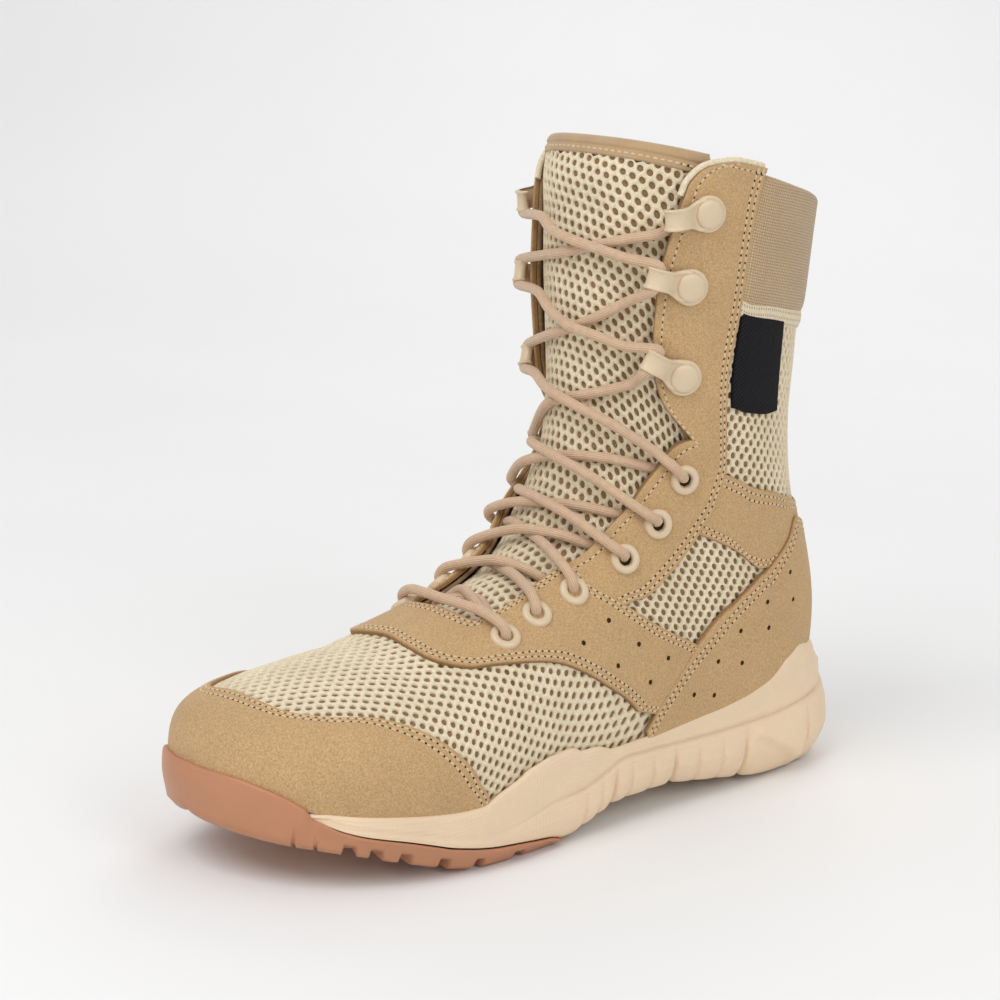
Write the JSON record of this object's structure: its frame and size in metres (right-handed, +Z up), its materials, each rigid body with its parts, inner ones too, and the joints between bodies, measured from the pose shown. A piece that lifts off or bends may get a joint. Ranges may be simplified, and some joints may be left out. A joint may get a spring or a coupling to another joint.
{
  "type": "tactical boot",
  "caption": "Lace-up tactical boot for the left foot: air-mesh upper with suede overlays, eyelets and speed hooks, foam midsole and lugged gum outsole.",
  "frame": {"origin": "on the floor, under the middle of the boot's bounding box", "axes": "+Z up, -Y towards the toe, +Y towards the heel, +X towards the lateral (outer) side of this left boot"},
  "size_m": [0.1104, 0.304, 0.2533],
  "materials": {
    "mesh": "matte open air mesh",
    "suede": "napped suede",
    "nylon": "coarse plain weave",
    "lining": "matte",
    "label": "matte twill, plain",
    "foam": "matte moulded foam",
    "gum": "satin",
    "lace": "ribbed round braid",
    "painted_metal": "satin"
  },
  "bodies": {
    "root": {"upper": "mesh", "tongue": "mesh", "tongue_binding": "suede", "insole": "lining", "midsole": "foam", "outsole_forefoot": "gum", "outsole_heel": "gum", "toe_cap": "suede", "vamp_saddle": "suede", "facing_lateral": "suede", "facing_medial": "suede", "ankle_band": "suede", "heel_counter": "suede", "collar": "nylon", "label": "label", "eyelet_lateral_1": "painted_metal", "eyelet_medial_1": "painted_metal", "eyelet_lateral_2": "painted_metal", "eyelet_medial_2": "painted_metal", "eyelet_lateral_3": "painted_metal", "eyelet_medial_3": "painted_metal", "eyelet_lateral_4": "painted_metal", "eyelet_medial_4": "painted_metal", "eyelet_lateral_5": "painted_metal", "eyelet_medial_5": "painted_metal", "eyelet_lateral_6": "painted_metal", "eyelet_medial_6": "painted_metal", "hook_lateral_1": "painted_metal", "hook_medial_1": "painted_metal", "hook_lateral_2": "painted_metal", "hook_medial_2": "painted_metal", "hook_lateral_3": "painted_metal", "hook_medial_3": "painted_metal", "lace_bar": "lace", "lace_cross_1": "lace", "lace_cross_2": "lace", "lace_cross_3": "lace", "lace_cross_4": "lace", "lace_cross_5": "lace", "lace_cross_6": "lace", "lace_cross_7": "lace", "lace_cross_8": "lace"}
  },
  "joints": []
}
